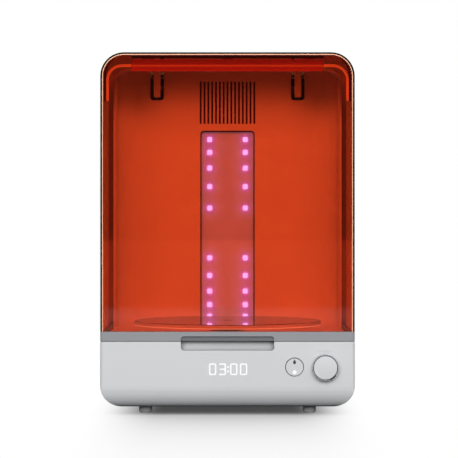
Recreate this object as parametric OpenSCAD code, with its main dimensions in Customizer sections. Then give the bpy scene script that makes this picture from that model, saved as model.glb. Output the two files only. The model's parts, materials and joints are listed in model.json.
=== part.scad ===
// Light curing unit with a hinged orange hood, a rear light column and a turntable.
// X runs to the right, Y to the rear and Z up. The front faces -Y.
// The origin lies under the middle of the unit, on the surface that it stands on.

/* [Overall] */
// Width across the base housing and the closed hood
body_w = 268; // [250:1:300]
// Depth of the base housing
body_d = 284; // [272:1:320]
// Height of the base housing without its feet
base_h = 70.2; // [68:0.1:90]
// Height of the hood's orange shell above its grey skirt
shell_h = 294.1; // [286:0.1:340]
// Radius of the base housing's lower edges
bottom_r = 24; // [14:0.5:26]
// Radius of the hood's upper corners, seen from the front
top_r = 25; // [20:0.5:34]
// Radius of the upright front edges
edge_r = 3.5; // [1:0.5:6]

/* [Base housing] */
// Wall of the base housing
base_wall = 3; // [2.4:0.1:4]
// Width of the inward rim that carries the chamber deck
rim_w = 16; // [13:0.5:22]
// Height that a foot stands below the housing
foot_h = 7.5; // [5:0.1:12]
// Diameter of a foot
foot_dia = 14; // [10:0.5:20]
// Distance of the feet from the middle plane
foot_x = 87.5; // [70:0.5:95]
// Distance of the feet from the front and rear faces
foot_in = 37; // [36:0.5:42]
// Width of the service opening in the bottom
service_w = 184; // [170:1:190]
// Length of the service opening in the bottom
service_l = 168; // [160:1:176]
// Width of the ledge that the base plate is screwed to
ledge_w = 8; // [7:0.5:10]
// Height of the ledge above the housing's bottom
ledge_h = 8.5; // [7:0.5:12]
// Thickness of the base plate
plate_t = 2.5; // [1.5:0.1:3]

/* [Hood] */
// Wall of the acrylic hood shell
hood_wall = 3; // [2.4:0.1:4]
// Height of the grey skirt below the shell
skirt_h = 10.1; // [9:0.1:14]
// Wall of the grey skirt
skirt_t = 5; // [4.5:0.1:6]
// Gap between the skirt and the base housing's upper edge
seam_gap = 0.4; // [0.3:0.05:1]
// Thickness of the shell's tongue inside the skirt
tongue_t = 1.6; // [1.2:0.1:2]
// Length of the shell's tongue inside the skirt
tongue_h = 4; // [2.5:0.1:5]
// Depth of the inner brace behind the front face
brace_d = 57; // [40:1:80]
// Thickness of the brace's bead
brace_t = 3; // [2:0.1:4]
// Length of the brace's upright legs below the ceiling
brace_leg = 45.4; // [36:0.5:60]
// Width of the brace's cross plate
brace_plate_w = 207; // [180:1:220]
// Height of the brace's cross plate
brace_plate_h = 13; // [8:0.1:14]

/* [Handle] */
// Width of the handle pocket
pocket_w = 98; // [80:1:120]
// Height of the pocket in the base housing
pocket_low = 9.4; // [7:0.1:10]
// Height of the pocket in the skirt
pocket_high = 5.4; // [4:0.1:5.6]
// Depth of the straight part of the pocket's floor
pocket_floor = 4.6; // [2:0.1:5]
// Corner radius of the pocket, seen from the front
pocket_r = 3; // [1:0.5:4]
// Distance of the grip lip behind the front face
lip_in = 3.5; // [2.5:0.1:4]
// Thickness of the grip lip
lip_t = 5.5; // [4:0.1:6]

/* [Rear column] */
// Depth of the rear column, from the chamber's back wall to its back face
column_d = 57; // [54:0.5:70]
// Gap between the column's top and the hood that swings over it
column_gap = 1; // [0.8:0.1:2]
// Radius of the column's upper rear edge about the hinge axis
cap_r = 25; // [24:0.5:27]
// Distance that the hood's walls reach behind the hinge axis
hood_past = 4; // [2:0.5:6]
// Distance of the column's back face from the base housing's back face
column_in = 1; // [0.5:0.5:4]
// Wall of the rear cover
cover_wall = 3; // [2.4:0.1:3.5]
// Wall of the chamber liner
liner_t = 2.5; // [2:0.1:3]
// Distance that the liner's side wings stand forward of its back wall
wing_d = 71; // [50:1:90]
// Radius of the liner's upright corners
liner_r = 22; // [12:0.5:26]

/* [Chamber floor and turntable] */
// Height of the deck above the base housing's upper edge
deck_rise = 5.7; // [5:0.1:9]
// Thickness of the deck
deck_t = 3; // [2:0.1:3.5]
// Gap between the deck and the skirt around it
deck_gap = 0.6; // [0.4:0.1:1]
// Gap between the turntable's rim and the hood's front wall
table_front = 8; // [6:0.5:20]
// Gap between the turntable's rim and the chamber's back wall
table_rear = 9; // [6:0.5:20]
// Thickness of the turntable disc
disc_t = 3; // [2:0.1:5]
// Gap between the deck and the turntable disc
disc_rise = 8.2; // [7:0.1:14]
// Radius of the turntable's hub
hub_r = 9; // [8:0.5:14]
// Diameter of the turntable's shaft
shaft_dia = 8; // [6:0.5:10]
// Radial clearance of the shaft in its bush
shaft_fit = 0.05; // [0.02:0.01:0.1]
// Wall of the turntable's bush
bush_t = 3; // [2:0.5:4]

/* [Drive] */
// Diameter of the gearbox
gearbox_dia = 37; // [30:1:42]
// Height of the gearbox
gearbox_h = 20; // [16:1:24]
// Diameter of the motor
motor_dia = 28; // [22:1:34]
// Height of the motor
motor_h = 22; // [16:1:24]
// Thickness of the motor bracket
bracket_t = 2; // [1.5:0.1:3]
// Distance of the bracket's screws from the turntable's axis
bracket_arm = 30; // [26:1:40]

/* [Light panel] */
// Width of the light window in the chamber's back wall
window_w = 63; // [50:1:70]
// Distance of the light window's top below the hood's ceiling
window_drop = 70.7; // [66:0.1:90]
// Radius of the light window's corners
window_r = 4; // [2:0.5:6]
// Thickness of the window pane
pane_t = 2; // [1.5:0.1:3]
// Width by which the pane overlaps the liner around the window
pane_lap = 4; // [3:0.5:6]
// Distance between the two columns of diodes
led_gap = 41.4; // [34:0.1:44]
// Size of a diode package
led_size = 5; // [3:0.1:6]
// Diameter of a diode's lens
led_lens = 4; // [2.5:0.1:4.5]
// Thickness of the light board
led_board_t = 1.6; // [1:0.1:2]
// Gap between the pane and the diodes' lenses
led_clear = 1.2; // [0.5:0.1:3]
// Depth of the heat sink's fins
fin_d = 12; // [8:0.5:15]
// Number of fins on the heat sink
fins = 9; // [5:1:11]

/* [Air system] */
// Number of slots in the chamber's air grille
grille_slots = 15; // [9:1:15]
// Distance from slot to slot
grille_pitch = 4.44; // [3.6:0.02:4.6]
// Width of a grille slot
grille_slot_w = 2.1; // [1.5:0.1:2.8]
// Height of the grille slots
grille_h = 48.8; // [40:0.1:52]
// Gap between the light window and the grille
grille_gap = 8; // [7:0.5:12]
// Size of the square fan frame
fan_size = 60; // [50:1:60]
// Depth of the fan frame
fan_d = 22; // [15:1:22]
// Thickness of the heater block
heater_t = 10; // [8:0.5:12]
// Number of slots in the rear vent
vent_slots = 9; // [5:1:11]
// Distance from one rear vent slot to the next
vent_pitch = 5.2; // [4.6:0.1:6]
// Width of the rear vent
vent_w = 52; // [40:1:60]
// Height of a rear vent slot
vent_h = 2.6; // [2.4:0.1:3]

/* [Hinges] */
// Distance of the hinge arms from the middle plane
arm_x = 81.5; // [70:0.5:86]
// Width of a hinge arm
arm_w = 7.5; // [6:0.1:9]
// Width of the wall slot around a hinge arm
arm_slot_w = 15.6; // [14:0.1:18]
// Radius of the slot's lower corners
arm_slot_r = 4; // [2:0.5:6]
// Radius of the arm's hub
arm_hub_r = 8; // [7:0.5:9]
// Thickness of the arm's bar and neck, seen from the side
arm_bar = 12; // [10:0.5:13]
// Length of the arm's foot on the ceiling
arm_foot = 42; // [34:1:50]
// Thickness of the arm's foot
arm_foot_t = 3.5; // [2.5:0.1:5]
// Clearance below the arm in its slot
arm_clear = 3.5; // [2:0.1:6]
// Distance of the arm's neck in front of the chamber's back wall
neck_out = 5; // [2:0.5:8]
// Diameter of the hinge pins
pin_dia = 8; // [6:0.5:9]
// Radial clearance of the hinge pins in the arms
pin_fit = 0.05; // [0.02:0.01:0.1]
// Thickness of a hinge bracket's cheek
cheek_t = 3; // [2:0.1:4]
// Distance that the steel frame reaches outside the hinge arms
frame_side = 22.5; // [18:0.5:26]
// Distance of the steel frame's uprights from the light window
frame_clear = 12.5; // [11:0.5:20]
// Width of the foot that holds an arm to the hood's ceiling
arm_foot_w = 18; // [14:0.5:24]
// Gap between the arm and a cheek, which a friction washer fills
washer_t = 1.6; // [1:0.1:2]

/* [Front controls] */
// Height of the button and the knob above the housing's bottom
control_h = 43.5; // [42:0.1:46]
// Distance of the knob's axis from the housing's side
knob_side = 31.4; // [28:0.1:36]
// Distance between the knob and the button
control_gap = 32.1; // [29:0.1:36]
// Radius of the knob
knob_r = 13.7; // [11:0.1:15]
// Distance that the knob stands in front of the housing
knob_out = 12; // [8:0.5:16]
// Gap between the released knob and the housing
knob_gap = 1.2; // [1:0.1:2]
// Travel of the knob when it is pressed
knob_travel = 0.8; // [0.4:0.1:0.9]
// Radius of the round button
button_r = 9.5; // [8:0.1:11]
// Distance that the button stands in front of the housing
button_out = 1.4; // [1.2:0.1:3]
// Travel of the button when it is pressed
button_travel = 1; // [0.5:0.1:1.1]
// Gap around the button
button_gap = 0.35; // [0.25:0.05:0.6]
// Height of the display's digits
digit_h = 12.4; // [10:0.1:14]
// Width of a digit
digit_w = 7.8; // [6:0.1:8]
// Width of a digit's stroke
stroke = 1.4; // [1:0.1:1.6]
// Distance from one digit to the next
digit_pitch = 10.3; // [9.6:0.1:10.6]
// Distance of the inner digits from the colon
colon_gap = 6; // [5.6:0.1:7]
// Distance of the display's middle below the button's axis
display_drop = 2.3; // [0:0.1:4]

/* [Electronics] */
// Thickness of the circuit boards
board_t = 1.6; // [1:0.1:2]
// Distance of the control board behind the front wall
board_in = 11; // [9:0.5:14]
// Width of the power supply
supply_w = 52; // [40:1:58]
// Length of the power supply
supply_l = 118; // [90:1:130]
// Height of the power supply
supply_h = 30; // [22:1:36]
// Width of the main board
main_w = 54; // [44:1:60]
// Length of the main board
main_l = 120; // [90:1:130]
// Distance of the power inlet from the middle plane
inlet_x = 84; // [70:1:92]
// Height of the power inlet's middle above the housing's bottom
inlet_h = 38; // [36:0.5:42]

/* [Hidden] */
$fn = 64;

// Small overlap that lets a cut pass cleanly through a face
eps = 0.5;
// Gap between pieces of one assembly that are screwed or clipped together
snug = 0.1;

// Main planes
front_y = (knob_out - body_d) / 2;
rear_y = front_y + body_d;
half_w = body_w / 2;
base_z = foot_h;
rim_z = base_z + base_h;
skirt_z = rim_z + seam_gap;
shell_z = skirt_z + skirt_h;
top_z = shell_z + shell_h;
ceiling_z = top_z - hood_wall;

// Hinge axis and the column around it
pivot_y = rear_y - column_in - cap_r;
pivot_z = ceiling_z - column_gap - cap_r;
column_hw = half_w - skirt_t - deck_gap;
column_r = top_r - hood_wall;
hood_rear_y = pivot_y + hood_past;
wall_y = rear_y - column_in - column_d;
wing_y = wall_y - wing_d;
liner_back_y = wall_y + liner_t;

// Deck and turntable
deck_z = rim_z + deck_rise;
deck_hw = column_hw;
deck_y0 = front_y + lip_in + lip_t + 1;
table_r = (wall_y - front_y - hood_wall - table_front - table_rear) / 2;
table_y = wall_y - table_rear - table_r;
disc_z = deck_z + disc_rise;
bush_r = shaft_dia / 2 + shaft_fit + bush_t;
bush_flange_r = bush_r + 4;
bush_top = deck_z + 2;
bracket_z = deck_z - deck_t - 8;
gearbox_z = bracket_z - gearbox_h;
motor_z = gearbox_z - motor_h;
shaft_low = gearbox_z + 4;

// Light panel and air system
window_z0 = deck_z;
window_z1 = ceiling_z - window_drop;
window_h = window_z1 - window_z0;
pane_y = liner_back_y;
led_h = 1.2;
lens_h = 1.4;
led_y = pane_y + pane_t + led_clear + lens_h;
led_board_y = led_y + led_h;
sink_y = led_board_y + led_board_t;
grille_z0 = window_z1 + grille_gap;
grille_z1 = grille_z0 + grille_h;
fan_drop = 12.5;
vent_drop = 12;
fan_z = pivot_z - fan_drop;
heater_y = liner_back_y + 2;
fan_y = heater_y + heater_t + 1.5;
fan_hole_r = fan_size / 2 - 2.5;
// Heights of the diodes above the deck: five from each end of the panel, with steps that grow inwards
led_end = 9.8;
led_step = 12.3;
led_growth = 1.17;
led_high_step = 13.3;
led_high_growth = 1.65;
led_low = [for (s = [0:4]) led_end + led_step * s + led_growth * s * s];
led_high = [for (s = [0:4]) led_end + led_high_step * s + led_high_growth * s * s];
led_rows = concat(led_low, [for (h = led_high) window_h - 0.2 - h]);

// Steel frame behind the light panel, its hinge brackets and the rear cover's screws
frame_t = 2;
frame_back = 8;
frame_y = rear_y - column_in - cover_wall - frame_back;
frame_top = pivot_z - 26;
frame_band = 24;
frame_foot = 16;
frame_hw = arm_x + frame_side;
frame_in = window_w / 2 + frame_clear;
cheek_gap = arm_w / 2 + washer_t;
cheek_r = 12;
neck_y = wall_y - neck_out;
neck_t = arm_bar - 2;
cover_screw_x = frame_in + 18;
cover_screw_low = deck_z + 30;
cover_screw_high = frame_top - 20;
cover_screw_z = [cover_screw_low, (cover_screw_low + cover_screw_high) / 2, cover_screw_high];

// Hood's cushions and magnets, and the brace below its ceiling
bumper_r = 1.9;
magnet_r = 3;
magnet_t = 2.2;
brace_y = front_y + brace_d;
bead_drop = 5.9;
bead_r = top_r - hood_wall - 5;
plate_drop = 0.6;
brace_plate_t = 2.2;

// Front controls
control_z = base_z + control_h;
knob_x = half_w - knob_side;
button_x = knob_x - control_gap;
wall_in_y = front_y + base_wall;
board_y = wall_in_y + board_in;
board_z0 = control_z - 20;
board_z1 = rim_z - pocket_low - base_wall - 1.2;
display_x = 0.6;
display_z = control_z - display_drop;
stop_gap = 0.1;
flange_t = 1.4;
icon_t = 0.8;
switch_h = 3.2;
knob_top = 3;
encoder_neck_r = 4;
bore_end_y = board_y - 1;
plunger_t = 1.5;
plunger_y = bore_end_y - knob_travel - 0.3 - plunger_t;
digit_x = [-colon_gap - digit_pitch, -colon_gap, colon_gap, colon_gap + digit_pitch];
// Segments of a digit in the order top, upper left, upper right, middle, lower left, lower right, bottom
shown = [[1, 1, 1, 0, 1, 1, 1], [1, 0, 1, 1, 0, 1, 1], [1, 1, 1, 0, 1, 1, 1], [1, 1, 1, 0, 1, 1, 1]];

// Service opening and what stands on the base plate
service_y = front_y + body_d / 2;
plate_w = service_w + 2 * ledge_w;
plate_l = service_l + 2 * ledge_w;
plate_z = base_z + plate_t;
plate_gap = 0.25;
supply_x = service_w / 2 - supply_w - 3;
main_x = -service_w / 2 + 3;
post_h = 7;
main_z = plate_z + post_h;
deck_wall = 3;

// Colours
housing_grey = [0.80, 0.81, 0.82];
skirt_grey = [0.60, 0.61, 0.62];
hood_orange = [0.85, 0.25, 0.06, 0.6];
liner_grey = [0.88, 0.88, 0.87];

// A box between two corners
module block(a, b) {
    translate(a) cube(b - a);
}

// A rod along Y from one depth to another
module rod_y(x, z, r, y0, y1) {
    translate([x, y1, z]) rotate([90, 0, 0]) cylinder(r = r, h = y1 - y0);
}

// A rod along X from one side to the other
module rod_x(y, z, r, x0, x1) {
    translate([x0, y, z]) rotate([0, 90, 0]) cylinder(r = r, h = x1 - x0);
}

// A rectangle with round corners, between two corners
module round_rect(x0, z0, x1, z1, r) {
    union() {
        translate([x0 + r, z0]) square([x1 - x0 - 2 * r, z1 - z0]);
        translate([x0, z0 + r]) square([x1 - x0, z1 - z0 - 2 * r]);
        for (x = [x0 + r, x1 - r], z = [z0 + r, z1 - r]) translate([x, z]) circle(r);
    }
}

// Carries a front view outline to a solid between two depths
module front_view(y0, y1) {
    translate([0, y1, 0]) rotate([90, 0, 0]) linear_extrude(y1 - y0) children();
}

// Carries a side view outline to a solid between two widths
module side_view(x0, x1) {
    translate([x0, 0, 0]) rotate([90, 0, 90]) linear_extrude(x1 - x0) children();
}

// A rectangle whose two lower corners are round
module round_below(x0, z0, x1, z1, r) {
    union() {
        translate([x0 + r, z0]) square([x1 - x0 - 2 * r, z1 - z0]);
        translate([x0, z0 + r]) square([x1 - x0, z1 - z0 - r]);
        for (x = [x0 + r, x1 - r]) translate([x, z0 + r]) circle(r);
    }
}

// A rectangle whose two upper corners are round
module round_above(x0, z0, x1, z1, r) {
    union() {
        translate([x0, z0]) square([x1 - x0, z1 - z0 - r]);
        translate([x0 + r, z0]) square([x1 - x0 - 2 * r, z1 - z0]);
        for (x = [x0 + r, x1 - r]) translate([x, z1 - r]) circle(r);
    }
}

// The base housing's form, drawn in by a wall on every side
module base_form(inset, z1) {
    w = half_w - inset;
    y0 = front_y + inset;
    y1 = rear_y - inset;
    z0 = base_z + inset;
    r = bottom_r - inset;
    corner = max(edge_r - inset, 0.8);
    intersection() {
        front_view(y0, y1) round_below(-w, z0, w, z1, r);
        side_view(-w, w) round_below(y0, z0, y1, z1, r);
        translate([0, 0, z0]) linear_extrude(z1 - z0) round_rect(-w, y0, w, y1, corner);
    }
}

// The handle pocket's opening, seen from the front
module pocket_outline() {
    round_rect(-pocket_w / 2, rim_z - pocket_low, pocket_w / 2, rim_z + pocket_high, pocket_r);
}

// The finger scoop below the hood's grip lip, grown by a wall
module scoop_form(grow) {
    side_view(-pocket_w / 2 - grow, pocket_w / 2 + grow) union() {
        translate([front_y - eps, rim_z - pocket_low - grow])
            square([pocket_floor + eps, pocket_low + grow + pocket_high]);
        intersection() {
            translate([front_y + pocket_floor, rim_z]) circle(pocket_low + grow);
            translate([front_y, rim_z - 2 * pocket_low]) square([3 * pocket_low, 2 * pocket_low]);
        }
    }
}

// Places of the screws that hold the base plate
module at_plate_screws() {
    for (x = [-1, 1] * (plate_w - ledge_w) / 2, y = [-1, 0, 1] * (plate_l - ledge_w) / 2)
        translate([x, service_y + y, base_z]) children();
}

// Places of the screws that hold the deck to the housing's rim
module at_deck_screws() {
    for (x = [-1, 1] * (deck_hw - 8), y = [deck_y0 + 20, wing_y - 12])
        translate([x, y, rim_z - base_wall]) children();
}

module base_housing() {
    color(housing_grey) difference() {
        union() {
            difference() {
                base_form(0, rim_z);
                base_form(base_wall, rim_z - base_wall);
                block([-half_w + rim_w, front_y + rim_w, rim_z - 2 * base_wall],
                      [half_w - rim_w, rear_y - rim_w, rim_z + eps]);
            }
            intersection() {
                base_form(0, rim_z);
                scoop_form(base_wall);
            }
            translate([0, service_y, base_z]) linear_extrude(ledge_h)
                square([plate_w + 2 * base_wall, plate_l + 2 * base_wall], center = true);
        }
        intersection() {
            scoop_form(0);
            front_view(front_y - eps, front_y + 3 * pocket_low) pocket_outline();
        }
        translate([0, service_y, base_z - eps]) linear_extrude(ledge_h + 2 * eps)
            square([service_w, service_l], center = true);
        translate([0, service_y, base_z - eps]) linear_extrude(eps + plate_t + snug)
            square([plate_w + 2 * plate_gap, plate_l + 2 * plate_gap], center = true);
        at_plate_screws() translate([0, 0, plate_t]) cylinder(r = 1.25, h = ledge_h - plate_t - 1);
        at_deck_screws() translate([0, 0, -eps]) cylinder(r = 1.7, h = base_wall + 2 * eps);
        at_feet() translate([0, 0, -eps]) cylinder(r = 2.5, h = base_wall + 2 * eps);
        front_view(front_y - eps, wall_in_y + eps) union() {
            translate([knob_x, control_z]) circle(encoder_neck_r + 0.3);
            translate([button_x, control_z]) circle(button_r + button_gap);
        }
        front_view(front_y - eps, wall_in_y + eps) all_segments();
        inlet_cut();
        bumper_places() translate([0, 0, -1.2]) cylinder(r = bumper_r + 0.05, h = 2);
        magnet_places() translate([0, 0, rim_z - magnet_t - 0.2])
            cylinder(r = magnet_r + 0.1, h = magnet_t + 1);
    }
}

module inlet_cut() {
    front_view(rear_y - base_wall - eps, rear_y + eps)
        translate([-inlet_x, base_z + inlet_h]) round_rect(-13.8, -10, 13.8, 10, 2);
}

module base_plate() {
    plate_pitch = 12;
    color([0.55, 0.56, 0.57]) difference() {
        translate([0, service_y, base_z]) linear_extrude(plate_t)
            round_rect(-plate_w / 2, -plate_l / 2, plate_w / 2, plate_l / 2, 3);
        at_plate_screws() translate([0, 0, -eps]) cylinder(r = 1.6, h = plate_t + 2 * eps);
        at_plate_screws() translate([0, 0, -eps]) cylinder(r = 3.1, h = eps + 1.2);
        for (x = [-1, 1] * service_w / 3.83, i = [0:7])
            translate([x, service_y + (i - 3.5) * plate_pitch, base_z - eps])
                linear_extrude(plate_t + 2 * eps) round_rect(-14, -2, 14, 2, 1.9);
    }
}

module base_plate_screws() {
    color("silver") at_plate_screws() {
        difference() {
            cylinder(r = 2.9, h = 1.2);
            translate([0, 0, -eps]) cylinder(r = 1.1, h = eps + 0.8);
        }
        translate([0, 0, 1.2]) cylinder(r = 1.25, h = ledge_h - 3);
    }
}

// Places of the four feet on the housing's bottom
module at_feet() {
    for (x = [-1, 1] * foot_x, y = [front_y + foot_in, rear_y - foot_in])
        translate([x, y, base_z]) children();
}

module foot(x, y) {
    color([0.28, 0.28, 0.29]) translate([x, y, 0]) union() {
        cylinder(r = foot_dia / 2 - 1, h = 1);
        translate([0, 0, 1]) cylinder(r = foot_dia / 2, h = foot_h - 1);
        translate([0, 0, foot_h]) cylinder(r = 2.5, h = base_wall);
        translate([0, 0, foot_h + base_wall]) cylinder(r = 4, h = 1.5);
    }
}

module foot_front_left() { foot(-foot_x, front_y + foot_in); }
module foot_front_right() { foot(foot_x, front_y + foot_in); }
module foot_rear_left() { foot(-foot_x, rear_y - foot_in); }
module foot_rear_right() { foot(foot_x, rear_y - foot_in); }

module chamber_deck() {
    color(liner_grey) {
        difference() {
            block([-deck_hw, deck_y0, rim_z], [deck_hw, rear_y - column_in, deck_z]);
            block([-deck_hw + deck_wall, deck_y0 + deck_wall, rim_z - eps],
                  [deck_hw - deck_wall, rear_y - column_in - deck_wall, deck_z - deck_t]);
            translate([0, table_y, rim_z]) cylinder(r = bush_r, h = deck_rise + eps);
            for (x = [-1, 1] * bracket_arm) translate([x, table_y, rim_z - eps])
                cylinder(r = 1.7, h = deck_rise + 1);
            block([-60, liner_back_y + 8, deck_z - deck_t - eps],
                  [60, pivot_y + 6, deck_z + eps]);
        }
        difference() {
            at_deck_screws() translate([0, 0, base_wall]) cylinder(r = 4, h = deck_rise - deck_t);
            at_deck_screws() cylinder(r = 1.25, h = base_wall + deck_rise - deck_t - 0.4);
        }
    }
}

module deck_screws() {
    color("silver") at_deck_screws() {
        translate([0, 0, -1.8]) cylinder(r = 2.9, h = 1.8);
        cylinder(r = 1.25, h = base_wall + deck_rise - deck_t - 0.6);
    }
}

module turntable_bush() {
    color([0.85, 0.84, 0.80]) translate([0, table_y, 0]) difference() {
        union() {
            translate([0, 0, deck_z - deck_t - 3]) cylinder(r = bush_r, h = bush_top - deck_z + deck_t + 3);
            translate([0, 0, deck_z]) cylinder(r = bush_flange_r, h = bush_top - deck_z);
        }
        translate([0, 0, bracket_z - eps])
            cylinder(r = shaft_dia / 2 + shaft_fit, h = bush_top - bracket_z + 2 * eps);
    }
}

module turntable_shaft() {
    color("silver") translate([0, table_y, shaft_low])
        cylinder(r = shaft_dia / 2, h = disc_z - 2.5 - shaft_low);
}

module turntable_hub() {
    spokes = 6;
    color([0.25, 0.25, 0.26]) translate([0, table_y, 0]) union() {
        difference() {
            translate([0, 0, bush_top + 0.3]) cylinder(r = hub_r, h = disc_z - bush_top - 0.3);
            translate([0, 0, bush_top]) cylinder(r = shaft_dia / 2, h = disc_z - 2.5 - bush_top);
        }
        translate([0, 0, disc_z - 2]) difference() {
            cylinder(r = 2.2 * hub_r, h = 2);
            cylinder(r = hub_r - 1, h = 2);
        }
        for (i = [0:spokes - 1]) rotate([0, 0, 360 / spokes * i])
            block([hub_r - 1, -1, disc_z - 4.5], [2.1 * hub_r, 1, disc_z - 2]);
        translate([0, 0, disc_z]) cylinder(r = 5.9, h = disc_t);
    }
}

module turntable_disc() {
    color([0.9, 0.92, 0.95, 0.5]) translate([0, table_y, 0]) difference() {
        union() {
            translate([0, 0, disc_z]) cylinder(r = table_r, h = disc_t);
            translate([0, 0, disc_z - 1.6]) difference() {
                cylinder(r = table_r, h = 1.6);
                cylinder(r = table_r - 2.5, h = 1.6);
            }
        }
        translate([0, 0, disc_z - eps]) cylinder(r = 6, h = disc_t + 2 * eps);
    }
}

module motor_bracket() {
    reach = bracket_arm + 6;
    color([0.70, 0.72, 0.74]) difference() {
        union() {
            block([-reach, table_y - 14, bracket_z], [reach, table_y + 14, bracket_z + bracket_t]);
            for (x = [-1, 1] * bracket_arm) translate([x, table_y, bracket_z])
                cylinder(r = 5, h = deck_z - deck_t - bracket_z);
        }
        translate([0, table_y, bracket_z - eps]) cylinder(r = bush_r + 0.3, h = 20);
        for (x = [-1, 1] * bracket_arm) translate([x, table_y, bracket_z - eps]) cylinder(r = 1.7, h = 20);
    }
}

module gearbox() {
    color([0.62, 0.63, 0.65]) difference() {
        translate([0, table_y, gearbox_z]) cylinder(r = gearbox_dia / 2, h = gearbox_h);
        translate([0, table_y, shaft_low - snug]) cylinder(r = shaft_dia / 2 + shaft_fit, h = gearbox_h);
    }
}

module drive_motor() {
    color([0.35, 0.36, 0.38]) union() {
        translate([0, table_y, motor_z]) cylinder(r = motor_dia / 2, h = motor_h);
        translate([0, table_y, motor_z - 1.5]) cylinder(r = 5, h = 1.5);
        for (x = [-8, 8]) block([x - 1.5, table_y - 0.4, motor_z - 4], [x + 1.5, table_y + 0.4, motor_z]);
    }
}

// Half section of the column: its width, and its reach from the hinge axis
module column_section(w, reach, r) {
    mirror_pair() union() {
        square([w - r, reach]);
        square([w, reach - r]);
        translate([w - r, reach - r]) circle(r);
    }
}

module mirror_pair() {
    children();
    mirror([1, 0]) children();
}

// The column's form behind a depth: it runs up, over the hinge axis in an arc, and down the back
module column_form(inset, y0, z0) {
    w = column_hw - inset;
    reach = cap_r - inset;
    r = column_r - inset;
    union() {
        translate([0, pivot_y, pivot_z]) rotate([90, 0, 0]) linear_extrude(pivot_y - y0)
            column_section(w, reach, r);
        block([-w, y0, z0], [w, pivot_y, pivot_z]);
        translate([0, pivot_y, z0]) linear_extrude(pivot_z - z0) column_section(w, reach, r);
        translate([0, pivot_y, pivot_z]) rotate([0, 90, 0]) rotate([0, 0, 90]) rotate_extrude(angle = 90)
            intersection() {
                rotate([0, 0, -90]) column_section(w, reach, r);
                translate([0, -w - 1]) square([reach, 2 * w + 2]);
            }
    }
}

// The slots that the hinge arms swing through
module arm_slots(y0) {
    low = pivot_z - arm_bar / 2 - arm_clear;
    for (side = [-1, 1]) front_view(y0, pivot_y + 10)
        round_below(side * arm_x - arm_slot_w / 2, low, side * arm_x + arm_slot_w / 2, low + 3 * cap_r, arm_slot_r);
}

module rear_liner() {
    inner_hw = column_hw - liner_t;
    color(liner_grey) difference() {
        intersection() {
            column_form(0, wing_y, deck_z);
            block([-half_w, wing_y, deck_z], [half_w, liner_back_y, top_z]);
        }
        translate([0, 0, deck_z - eps]) linear_extrude(top_z)
            round_above(-inner_hw, wing_y - eps, inner_hw, wall_y, liner_r);
        front_view(wall_y - eps, liner_back_y + eps)
            round_rect(-window_w / 2, window_z0 + 4, window_w / 2, window_z1, window_r);
        front_view(wall_y - eps, liner_back_y + eps) for (i = [0:grille_slots - 1])
            translate([(i - (grille_slots - 1) / 2) * grille_pitch, (grille_z0 + grille_z1) / 2])
                square([grille_slot_w, grille_h], center = true);
        arm_slots(wing_y - eps);
    }
}

module rear_cover() {
    color(housing_grey) difference() {
        column_form(0, liner_back_y + snug, deck_z);
        difference() {
            column_form(cover_wall, liner_back_y - eps, deck_z - 1);
            mirror_pair() block([column_hw - 14, liner_back_y, deck_z - 2],
                                [column_hw, liner_back_y + 6, deck_z + 20]);
        }
        arm_slots(liner_back_y - 2 * eps);
        for (i = [0:vent_slots - 1]) front_view(pivot_y + 8, rear_y + eps)
            translate([0, fan_z - vent_drop - vent_pitch * i])
                round_rect(-vent_w / 2, -vent_h / 2, vent_w / 2, vent_h / 2, vent_h / 2 - 0.1);
        at_cover_screws() translate([0, eps, 0]) rotate([90, 0, 0]) cylinder(r = 1.7, h = 20);
        at_cover_screws() translate([0, eps, 0]) rotate([90, 0, 0]) cylinder(r = 3.1, h = eps + 1.6);
    }
}

// Places of the screws that hold the rear cover to the hinge frame
module at_cover_screws() {
    for (x = [-1, 1] * cover_screw_x, z = cover_screw_z) translate([x, rear_y - column_in, z]) children();
}

module rear_cover_screws() {
    color("silver") at_cover_screws() rotate([90, 0, 0]) {
        difference() {
            translate([0, 0, 0.2]) cylinder(r = 2.9, h = 1.4);
            cylinder(r = 1.1, h = 1);
        }
        translate([0, 0, 1.6]) cylinder(r = 1.5, h = frame_back - 0.4);
    }
}

// Sheet steel frame that carries the hinges, the light panel and the fan
module hinge_frame() {
    window_x = (frame_hw + frame_in) / 2;
    window_hw = (frame_hw - frame_in) / 2 - 14;
    color([0.70, 0.72, 0.74]) difference() {
        union() {
            block([-frame_hw, frame_y, deck_z], [-frame_in, frame_y + frame_t, frame_top]);
            block([frame_in, frame_y, deck_z], [frame_hw, frame_y + frame_t, frame_top]);
            block([-frame_hw, frame_y, deck_z], [frame_hw, frame_y + frame_t, deck_z + frame_foot]);
            block([-frame_hw, frame_y, frame_top - frame_band], [frame_hw, frame_y + frame_t, frame_top]);
            block([-frame_hw, frame_y - frame_foot + frame_t, deck_z], [frame_hw, frame_y, deck_z + frame_t]);
            for (side = [-1, 1], cheek = [-1, 1]) {
                x0 = side * arm_x + cheek * (cheek_gap + cheek_t / 2) - cheek_t / 2;
                block([x0, pivot_y - cheek_r, frame_top - frame_band], [x0 + cheek_t, frame_y, pivot_z]);
                rod_x(pivot_y, pivot_z, cheek_r, x0, x0 + cheek_t);
            }
            at_cover_screws() rotate([90, 0, 0]) translate([0, 0, cover_wall + 0.2])
                cylinder(r = 4, h = frame_back - 0.2);
        }
        for (x = [-1, 1] * arm_x) rod_x(pivot_y, pivot_z, pin_dia / 2, x - cheek_r, x + cheek_r);
        at_cover_screws() rotate([90, 0, 0]) cylinder(r = 1.5, h = cover_wall + frame_back + frame_t + 1);
        for (x = [-1, 1] * window_x) block([x - window_hw, frame_y - eps, cover_screw_low + 10],
                                           [x + window_hw, frame_y + frame_t + eps, cover_screw_z[1] - 16]);
    }
}

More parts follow.
